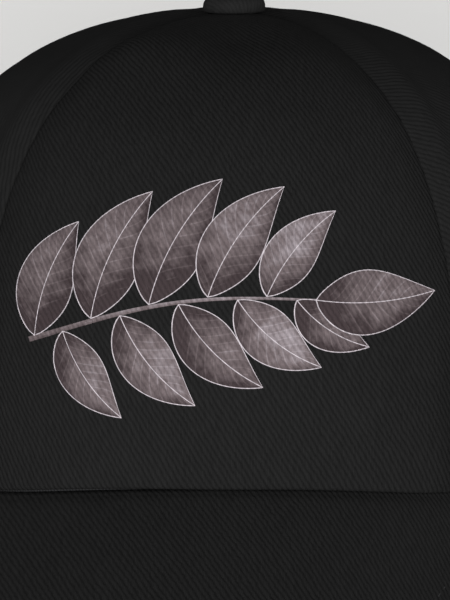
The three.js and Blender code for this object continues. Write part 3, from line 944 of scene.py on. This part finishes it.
def visor_bend(arc, depth):
    """How far across a place on the bent visor lies, and how far it has fallen from the middle."""
    turn = arc / VISOR_BEND_RADIUS
    radius = VISOR_BEND_RADIUS - depth
    return radius * np.sin(turn), VISOR_BEND_RADIUS - radius * np.cos(turn)


def visor_point(arc, reach, depth):
    across, fall = visor_bend(arc, depth)
    y = -FRONT_DEPTH - reach * math.cos(VISOR_SLOPE) + fall * math.sin(VISOR_SLOPE)
    z = JOINT_HEIGHT - reach * math.sin(VISOR_SLOPE) - fall * math.cos(VISOR_SLOPE)
    return np.stack(np.broadcast_arrays(across, y, z), -1)


def visor_normal(arc):
    turn = arc / VISOR_BEND_RADIUS
    lean = -np.cos(turn) * math.sin(VISOR_SLOPE)
    return np.stack([np.sin(turn), lean, np.cos(turn) * math.cos(VISOR_SLOPE)], -1)


def visor_rear_reach(arc, depth, inset):
    across, fall = visor_bend(arc, depth)
    wall_depth = plan_depth(across, HALF_WIDTH - inset, FRONT_DEPTH - inset)
    return (wall_depth - FRONT_DEPTH + fall * math.sin(VISOR_SLOPE)) / math.cos(VISOR_SLOPE)


def visor_front_reach(arc):
    tip_reach = visor_rear_reach(VISOR_HALF_ARC, 0, 0) + VISOR_TIP_WIDTH
    across = np.clip(np.abs(arc / VISOR_HALF_ARC) ** VISOR_OUTLINE_POWER, 0, 1)
    return tip_reach + (VISOR_REACH - tip_reach) * (1 - across) ** (1 / VISOR_OUTLINE_POWER)


def visor_edge_line(offset, samples=400):
    """Arcs and reaches of a line that keeps its distance from the visor's outer edge."""
    turn = np.linspace(-0.5, 0.5, samples) * math.pi
    arc = VISOR_HALF_ARC * np.sin(turn)
    reach = visor_front_reach(arc)
    tangent = unit(np.stack([np.gradient(arc), np.gradient(reach)], -1))
    arc, reach = arc + tangent[:, 1] * offset, reach - tangent[:, 0] * offset
    kept = (reach > visor_rear_reach(np.clip(arc, -88, 88), 0, 0) + 1.0) & (np.abs(arc) < 88)
    return arc[kept], reach[kept]


def make_visor():
    columns, rows = 121, 44
    arcs = VISOR_HALF_ARC * np.sin(np.linspace(-0.5, 0.5, columns) * math.pi)
    tuck = VISOR_TUCK * (1 - np.abs(arcs / VISOR_HALF_ARC) ** 4)
    half = VISOR_THICKNESS / 2
    from_joint = np.array([-1.0, -0.5, 0, 0.5, 1.0, 1.6, 2.4, 3.6])
    faces_of_plate = []
    for depth in (0, VISOR_THICKNESS):
        rear = visor_rear_reach(arcs, depth, tuck)
        wall = visor_rear_reach(arcs, depth, 0)
        front = visor_front_reach(arcs) - half
        room = np.minimum((front - wall) / 12, 1)[:, None]
        behind = -from_joint * (rear - wall)[:, None]
        near_rows = wall[:, None] + np.where(from_joint < 0, behind, from_joint * room)
        shares = np.linspace(0, 1, rows)[1:] ** 0.9
        far_rows = near_rows[:, -1:] + (front[:, None] - near_rows[:, -1:]) * shares
        reach = np.concatenate([near_rows, far_rows], 1)
        sink = groove_depth(arcs[:, None], reach)
        if depth == 0:
            sink = sink + crease_depth(arcs[:, None], reach)
        side = 1 if depth == 0 else -1
        plate = visor_point(arcs[:, None], reach, depth + side * sink)
        beyond = np.maximum(reach - wall[:, None], 0)
        plate[..., 2] += joint_shift(plate[..., 0]) * bell(beyond, JOINT_SHIFT_REACH)
        faces_of_plate.append((plate, reach))
    (upper, upper_reach), (lower, _) = faces_of_plate
    uv = paired(arcs[:, None], -upper_reach)
    piece = shell_piece("Visor_Cloth", lower, upper, uv, BLACK, "black_twill")
    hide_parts("visor")
    rows_of_stitches = []
    for offset in VISOR_STITCH_ROWS:
        arc, reach = visor_edge_line(offset)
        for depth, side in ((0.06, 1), (VISOR_THICKNESS - 0.06, -1)):
            rows_of_stitches.append((visor_point(arc, reach, depth), side * visor_normal(arc)))
    stitches_piece("Visor_Stitches", rows_of_stitches)


def crease_depth(arc, reach):
    """How far the visor's top is drawn down where it goes in under the crown."""
    beyond = reach - visor_rear_reach(arc, 0, 0)
    end_share = np.minimum(np.abs(arc) / SEAM_ARC, 1.2) ** 2
    crease = CREASE_DEPTH * (1 + CREASE_END_SHARE * end_share)
    crease = crease * bell(np.maximum(beyond, 0), CREASE_WIDTH * (1 + end_share))
    crease += 0.6 * np.maximum(-beyond, 0)
    return crease * (1 - np.abs(arc / VISOR_HALF_ARC) ** 4)


def groove_depth(arc, reach):
    """Depth of the shallow grooves that the visor's stitching pulls in."""
    slant = np.cos(np.clip(np.abs(arc) / VISOR_HALF_ARC, 0, 1) * 1.2)
    distance = (visor_front_reach(arc) - reach) * slant
    depth = np.zeros_like(distance)
    for offset in VISOR_STITCH_ROWS:
        depth = depth + STITCH_GROOVE * bell(distance - offset, STITCH_GROOVE_WIDTH)
    return depth


# Button

def make_button():
    top = BAND_HEIGHT + DOME_HEIGHT
    dome = BUTTON_HEIGHT - BUTTON_SHOULDER
    profile = [(0.2, BUTTON_HEIGHT)] + [
        (BUTTON_RADIUS * math.sin(a) ** 0.62, BUTTON_SHOULDER + dome * math.cos(a) ** 0.8)
        for a in np.linspace(0.05, math.pi / 2, 18)
    ]
    profile += [(BUTTON_RADIUS, 0.6), (BUTTON_RADIUS - 0.12, 0.1), (BUTTON_RADIUS - 0.5, -0.12)]
    profile += [(3.0, -0.1), (2.4, -0.15), (2.4, -1.6), (0.2, -1.6)]
    around = 72
    points, uv = [], []
    for i in range(around):
        angle = 2 * math.pi * i / around
        along = 0.0
        for j, (radius, height) in enumerate(profile):
            if j:
                along += math.hypot(radius - profile[j - 1][0], height - profile[j - 1][1])
            gather = BUTTON_GATHER * math.sin(angle * BUTTON_GATHERS)
            reach = radius + gather * bell(height - 1.0, 0.9)
            points.append((reach * math.sin(angle), TOP_SET_BACK - reach * math.cos(angle), top + height))
            uv.append((along * math.sin(angle), 60 - along * math.cos(angle)))
    length = len(profile)
    faces = []
    for i in range(around):
        here, there = i * length, (i + 1) % around * length
        for j in range(length - 1):
            faces.append((here + j, here + j + 1, there + j + 1, there + j))
    faces.append(tuple(i * length for i in range(around)))
    faces.append(tuple(i * length + length - 1 for i in range(around))[::-1])
    # the button's lighter twill is painted light
    piece = mesh_piece("Button_Cloth", np.array(points), faces, BUTTON_BLACK_PAINTED_LIGHT, np.array(uv))
    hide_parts("button")
    bpy.data.objects["button_back"].material_slots[0].material = METAL


# Inside

def band_shell(name, azimuths, low, high, inset, thickness, rows, material, slot, v_shift=0.0):
    """A band inside the crown between two heights, with its cloth coordinates along and up it."""
    low, high = (np.broadcast_to(height, azimuths.shape)[:, None] for height in (low, high))
    heights = low + (high - low) * np.linspace(0, 1, rows)
    climbs = climb_at_height(azimuths[:, None], heights)
    outer = inside_point(azimuths[:, None], climbs, inset)
    inner = inside_point(azimuths[:, None], climbs, inset + thickness)
    uv = paired(walked(outer[:, 0])[:, None], heights + v_shift)
    return shell_piece(name, outer, inner, uv, material, slot)


def band_line(azimuths, heights, inset):
    climbs = climb_at_height(azimuths, heights)
    return inside_point(azimuths, climbs, inset), -crown_normal(azimuths, climbs)


def make_sweatband():
    end = BACK_SEAM - STRAP_HALF_ARC + math.radians(6)
    azimuths = np.linspace(-end, end, 181)
    low = np.maximum(hem_height(azimuths) - SWEATBAND_DROP, 0.6)
    high = low + SWEATBAND_HEIGHT
    inset = SWEATBAND_INSET + 0.1
    sizes = (azimuths, low, high, inset, SWEATBAND_THICKNESS, 12)
    piece = band_shell("Sweatband_Cloth", *sizes, LINING, "sweatband_cloth")
    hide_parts("sweatband")
    inner_face = inset + SWEATBAND_THICKNESS
    rows = [band_line(azimuths, low + 3.5, inner_face), band_line(azimuths, high - 2.5, inner_face)]
    stitches_piece("Sweatband_Stitches", rows)


def make_seam_tapes():
    """Tapes that cover the seams inside the crown, from the sweatband to the top."""
    stitch_lines = []
    seams = {
        "Front_Left": FRONT_SEAM,
        "Front_Right": -FRONT_SEAM,
        "Side_Left": SIDE_SEAM,
        "Side_Right": -SIDE_SEAM,
        "Back": BACK_SEAM,
    }
    shares = np.linspace(-1, 1, 9)
    for name, seam in seams.items():
        low = climb_at_height(seam, ARCH_HEIGHT + BINDING_WIDTH if name == "Back" else TAPE_START_HEIGHT)
        high = climb_at_top_radius(seam, TAPE_END_RADIUS)
        climbs = spaced_climbs(seam, float(low), float(high), np.linspace(0, 1, 46))
        place = crown_point(seam, climbs)
        axis_distance = from_axis(place)
        turns = TAPE_HALF_WIDTH / axis_distance
        seam_line = seam_azimuth(seam, axis_distance)
        inset = seam_inset(seam_line, climbs, (seam,)) + TAPE_DEPTH
        azimuths = seam_line[:, None] + turns[:, None] * shares
        outer = inside_point(azimuths, climbs[:, None], inset[:, None])
        inner = inside_point(azimuths, climbs[:, None], inset[:, None] + TAPE_THICKNESS)
        uv = paired(shares * TAPE_HALF_WIDTH, walked(place)[:, None])
        shell_piece(f"Seam_Tape_{name}", inner, outer, uv, LINING, "sweatband_cloth")
        for side in (-TAPE_STITCHES, TAPE_STITCHES):
            line_azimuths = seam_line + turns * side
            line = inside_point(line_azimuths, climbs, inset + TAPE_THICKNESS)
            stitch_lines.append((line, -crown_normal(line_azimuths, climbs)))
    stitches_piece("Seam_Tape_Stitches", stitch_lines)


# Back

def arch_frames(samples=121):
    """Points along the middle of the tape round the gap, with the directions across and out of it."""
    turn = np.linspace(0, math.pi, samples)
    half_width = ARCH_HALF_WIDTH + BINDING_WIDTH / 2
    height = np.maximum((ARCH_HEIGHT + BINDING_WIDTH / 2) * np.sin(turn), 0.6)
    climb = climb_at_height(BACK_SEAM, height)
    spread = np.cos(np.maximum(climb, 0)) ** (2 / SIDE_WALL_POWER)
    plan_x = half_width * np.cos(turn) / spread
    azimuth = np.arctan2(plan_x, -plan_depth(plan_x, HALF_WIDTH, BACK_DEPTH))
    middle = inside_point(azimuth, climb, BINDING_THICKNESS / 2 - BINDING_PROUD)
    normal = crown_normal(azimuth, climb)
    along = unit(np.gradient(middle, axis=0))
    return middle, unit(np.cross(along, normal)), normal


def rounded_outline(count, power, first=0.0):
    """Points round a rectangle with rounded corners, which reaches 1 to each side."""
    points = []
    for k in range(count):
        angle = 2 * math.pi * (k + first) / count
        parts = (math.cos(angle), math.sin(angle))
        points.append(tuple(math.copysign(abs(part) ** power, part) for part in parts))
    return points


def make_binding():
    middle, across, normal = arch_frames()
    half_width, half_depth, sides = BINDING_WIDTH / 2 + 0.2, BINDING_THICKNESS / 2 + 0.1, 20
    outline = rounded_outline(sides, 0.55, 0.5)
    sections = [middle + across * half_width * x + normal * half_depth * y for x, y in outline]
    points = np.stack(sections, 1).reshape(-1, 3)
    uv = paired(walked(middle)[:, None], np.abs(np.linspace(-1, 1, sides)) * 4.5).reshape(-1, 2)
    faces = [face[::-1] for face in loft_faces(len(middle), sides)]
    piece = mesh_piece("Arch_Binding_Cloth", points, faces, BLACK, uv)
    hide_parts("arch_binding")
    rows = [(middle + side * normal * half_depth, side * normal) for side in (1, -1)]
    stitches_piece("Arch_Stitches", rows)


def make_strap():
    azimuths = BACK_SEAM + np.linspace(-STRAP_HALF_ARC, STRAP_HALF_ARC, 81)
    low, high = STRAP_LOW, STRAP_LOW + STRAP_WIDTH
    sizes = (azimuths, low, high, STRAP_INSET, STRAP_THICKNESS, 9)
    strap = band_shell("Strap_Cloth", *sizes, BLACK, "black_twill")
    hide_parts("strap")
    tail_inset = STRAP_INSET - GAP - STRAP_THICKNESS
    tail_azimuths = BACK_SEAM + np.linspace(TAIL_START, TAIL_END, 33)
    tail_sizes = (tail_azimuths, low, high, tail_inset, STRAP_THICKNESS, 9)
    tail = band_shell("Strap_Tail_Cloth", *tail_sizes, BLACK, "black_twill", 40.0)
    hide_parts("strap_tail")
    rows = []
    open_part = BACK_SEAM + np.linspace(-math.radians(24), math.radians(24), 60)
    tail_part = BACK_SEAM + np.linspace(TAIL_START + math.radians(7.5), TAIL_END - math.radians(1.2), 20)
    for height in (low + STRAP_STITCH_INSET, high - STRAP_STITCH_INSET):
        for part, inset in ((open_part, STRAP_INSET), (tail_part, tail_inset)):
            line, inward = band_line(part, height, inset)
            rows.append((line, -inward))
    stitches_piece("Strap_Stitches", rows)
    make_slider(tail_inset)


def make_slider(tail_inset):
    """The bent sheet-metal sleeve that holds the strap, with rounded edges."""
    azimuth = BACK_SEAM + SLIDER_AZIMUTH
    climb = climb_at_height(azimuth, STRAP_LOW + STRAP_WIDTH / 2)
    middle = inside_point(azimuth, climb, tail_inset + STRAP_THICKNESS + GAP / 2)
    normal = crown_normal(azimuth, climb)
    along = unit(np.array([-normal[1], normal[0], 0.0]))
    upward = np.cross(along, normal)
    half_height = STRAP_WIDTH / 2 + SLIDER_PLAY
    half_depth = STRAP_THICKNESS + GAP / 2 + SLIDER_PLAY
    columns = np.linspace(-SLIDER_LENGTH / 2, SLIDER_LENGTH / 2, 13)
    walls = SLIDER_WALL * (0.62 + 0.38 * np.sqrt(1 - np.abs(2 * columns / SLIDER_LENGTH) ** 8))
    loops = list(zip(columns, walls)) + [(column, 0.0) for column in columns[::-1]]
    outline = rounded_outline(40, 0.35)
    points = []
    for column, wall in loops:
        centre = middle + along * column
        for x, y in outline:
            points.append(centre + normal * y * (half_depth + wall) + upward * x * (half_height + wall))
    faces = [(a, d, c, b) for a, b, c, d in loft_faces(len(loops), len(outline), ring=True)]
    piece = mesh_piece("Strap_Slider", np.array(points), faces, METAL)
    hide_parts("strap_slider")


# Print on the front panel

def front_place(across, height, lift):
    """Points on the front panel below a place given across and up, raised by lift, and their map."""
    across, height = np.broadcast_arrays(np.asarray(across, float), np.asarray(height, float))
    azimuth = np.arcsin(np.clip(across / HALF_WIDTH, -0.95, 0.95))
    for _ in range(8):
        climb = climb_at_height(azimuth, height)
        plan_x = across / spread_share(azimuth, climb)
        azimuth = np.arctan2(plan_x, plan_depth(plan_x, HALF_WIDTH, FRONT_DEPTH))
    climb = climb_at_height(azimuth, height)
    seams = (-FRONT_SEAM, FRONT_SEAM)
    inset = seam_inset(azimuth, climb, seams) - undulation(azimuth, climb) - lift
    return inside_point(azimuth, climb, inset), FRONT_CLOTH.at(azimuth, climb)


FRONT_CLOTH = ClothMap(0.0, FRONT_SEAM)


class PrintLayer:
    """Thin patches of ink, gathered into one piece with a cloth map and a leaf map."""

    def __init__(self):
        self.points, self.faces, self.uv, self.leaf_uv = [], [], [], []

    def add(self, across, height, lift, leaf_uv):
        """A patch from grids of places, as a thin sheet with a skirt down to the cloth."""
        top, uv = front_place(across, height, lift)
        bottom, _ = front_place(across, height, lift - SKIRT)
        first = len(self.points)
        columns, rows = across.shape
        size = columns * rows
        self.points += list(top.reshape(-1, 3)) + list(bottom.reshape(-1, 3))
        self.uv += list(uv.reshape(-1, 2)) * 2
        self.leaf_uv += list(leaf_uv.reshape(-1, 2)) * 2
        for c in range(columns - 1):
            for r in range(rows - 1):
                a, b = first + c * rows + r, first + (c + 1) * rows + r
                self.faces.append((a + 1, b + 1, b, a))
                self.faces.append((a + size, b + size, b + size + 1, a + size + 1))
        numbers = np.arange(first, first + size).reshape(columns, rows)
        sides = (numbers[:-1, 0], numbers[-1, :-1], numbers[:0:-1, -1], numbers[0, :0:-1])
        rim = np.concatenate(sides).tolist()
        for here, there in zip(rim, rim[1:] + rim[:1]):
            self.faces.append((there, size + there, size + here, here))

    def piece(self, name, material):
        points = np.array(self.points)
        piece = mesh_piece(name, points, self.faces, material, self.uv)
        set_uv(piece.data, "Leaf", self.leaf_uv)


class Leaf:
    """A leaf on the print, from its base's place, direction, length, width and bend."""

    def __init__(self, number, base, direction, length, width, bend):
        self.number, self.base, self.direction = number, base, direction
        self.length, self.width, self.bend = length, width, bend

    def strip(self, low, high, margin=0.0, rows=7):
        """Places between two sides, which run from -1 to 1 across the leaf, with its leaf map."""
        share = np.linspace(0, 1, LEAF_STEPS)[:, None]
        reach = self.length + 3 * margin
        half = (self.width / 2 + margin) * np.sin(math.pi * share ** 0.78) ** 0.95
        heading = self.direction + self.bend * (share - 0.3)
        step = reach / (LEAF_STEPS - 1)
        x = np.cumsum(np.cos(heading), axis=0) * step - 1.5 * margin * math.cos(self.direction)
        y = np.cumsum(np.sin(heading), axis=0) * step - 1.5 * margin * math.sin(self.direction)
        side = low + (high - low) * np.linspace(0, 1, rows)
        offset = half * side
        if low * high == 0:
            rib = np.sign(low + high) * MIDRIB
            offset = rib + np.sign(rib) * np.maximum(np.abs(offset) - MIDRIB, 0)
        across = PRINT_MIDDLE[0] + self.base[0] + x - np.sin(heading) * offset
        height = PRINT_MIDDLE[1] + self.base[1] + y + np.cos(heading) * offset
        return across, height, paired(self.number + 0.01 + 0.98 * share, 0.5 + 0.5 * side)


def stem_place(share):
    x = STEM_START[0] + (STEM_END[0] - STEM_START[0]) * share
    y = STEM_START[1] + (STEM_END[1] - STEM_START[1]) * share + STEM_RISE * math.sin(math.pi * share)
    return x, y


def spray_leaves():
    """The leaves from the stem's start to its tip, smaller towards both ends."""
    leaves = []
    for pair in range(LEAF_PAIRS):
        share = (pair + 0.35) / LEAF_PAIRS
        full = math.sin(math.pi * (0.3 + 0.5 * share))
        for side in (1, -1):
            base = stem_place(share - 0.05 * side)
            length = LEAF_LENGTH * full * (1.0 if side > 0 else 0.84)
            direction = math.radians(8 + side * (70 - 24 * share))
            number = len(leaves)
            leaves.append(Leaf(number, base, direction, length, length * LEAF_WIDTH_SHARE, -side * 0.6))
    leaves.append(Leaf(len(leaves), stem_place(0.98), math.radians(-4), 29.0, 15.0, 0.35))
    return leaves


def stem_strip(layer, number, lift):
    share = np.linspace(0, 1, LEAF_STEPS)
    middle = np.array([stem_place(s) for s in share])
    side = unit(np.gradient(middle, axis=0))[:, ::-1] * [-1, 1]
    half = STEM_WIDTH / 2 * (1 - 0.6 * share)
    edges = np.linspace(-1, 1, 5)
    places = np.array(PRINT_MIDDLE) + middle[:, None] + side[:, None] * (half[:, None] * edges)[..., None]
    leaf_uv = paired(number + 0.2 + 0.6 * share[:, None], 0.5 + 0.3 * edges)
    layer.add(places[..., 0], places[..., 1], lift, leaf_uv)


def make_print():
    outlines, shaded = PrintLayer(), PrintLayer()
    lift = INK_LIFT
    leaves = spray_leaves()
    stem_strip(shaded, len(leaves), lift)
    for leaf in leaves:
        across, height, leaf_uv = leaf.strip(-1, 1, OUTLINE, 13)
        outlines.add(across, height, lift, leaf_uv)
        for side in (-1, 1):
            across, height, leaf_uv = leaf.strip(*sorted((0, side)))
            shaded.add(across, height, lift + SHADED_LIFT, leaf_uv)
        lift += INK_LAYER
    outlines.piece("Print_Outlines", print_material("print_outline_ink", outline_colour))
    shaded.piece("Print_Leaves", print_material("print_leaf_ink", leaf_colour))


# Floor, lights and camera

def make_stage():
    nodes = Nodes("pale_floor")
    place = nodes.object_place()
    cloudy = nodes.noise(place, 3.0, 3.0)
    nodes.paint(nodes.mix(cloudy, (0.44, 0.437, 0.43), (0.47, 0.466, 0.46)))
    nodes.set(Roughness=0.9, Specular_IOR_Level=0.1)
    mesh = bpy.data.meshes.new("floor")
    signs = ((-1, -1), (1, -1), (1, 1), (-1, 1))
    corners = [(x * FLOOR_HALF_SIZE, y * FLOOR_HALF_SIZE, 0) for x, y in signs]
    mesh.from_pydata(corners, [], [(0, 1, 2, 3)])
    mesh.materials.append(nodes.material)
    floor = new_object("floor", mesh)


def area_light(name, place, power):
    data = bpy.data.lights.new(name, "AREA")
    data.shape = "SQUARE"
    data.size = LIGHT_SIZE
    data.energy = power
    lamp = new_object(name, data)
    lamp.location = place
    lamp.visible_camera = False
    lamp.rotation_euler = (Vector(LIGHT_AIM) - Vector(place)).to_track_quat("-Z", "Y").to_euler()


def make_lights():
    world = bpy.data.worlds.new("studio")
    world.use_nodes = True
    background = world.node_tree.nodes["Background"]
    background.inputs["Color"].default_value = (1.0, 1.0, 1.0, 1.0)
    background.inputs["Strength"].default_value = WORLD_STRENGTH
    bpy.context.scene.world = world
    for name, place, power in LIGHTS:
        area_light(name, place, power)
    bpy.context.scene.view_settings.view_transform = "Standard"


def make_camera():
    out = np.array([
        math.sin(CAMERA_TURN) * math.cos(CAMERA_RISE),
        -math.cos(CAMERA_TURN) * math.cos(CAMERA_RISE),
        math.sin(CAMERA_RISE),
    ])
    right = unit(np.cross(-out, [0.0, 0.0, 1.0]))
    upward = np.cross(right, -out)
    roll_cos, roll_sin = math.cos(CAMERA_ROLL), math.sin(CAMERA_ROLL)
    rolled_right = right * roll_cos + upward * roll_sin
    rolled_up = upward * roll_cos - right * roll_sin
    place = to_room(np.array(CAMERA_AIM) + out * CAMERA_DISTANCE)
    axes = [pitched(axis) for axis in (rolled_right, rolled_up, out)]
    data = bpy.data.cameras.new("camera")
    data.sensor_fit = "VERTICAL"
    data.sensor_height = 36.0
    data.lens = FOCAL_PIXELS * data.sensor_height / PHOTO_HEIGHT
    data.clip_start = 0.05
    data.clip_end = 20.0
    camera = new_object("camera", data)
    turn = Matrix([list(row) for row in np.array(axes).T]).to_4x4()
    camera.matrix_world = Matrix.Translation(Vector(place)) @ turn
    bpy.context.scene.camera = camera


make_camera()
make_lights()
make_stage()
make_panels()
make_visor()
make_button()
make_sweatband()
make_seam_tapes()
make_binding()
make_strap()
make_print()

bpy.context.view_layer.update()
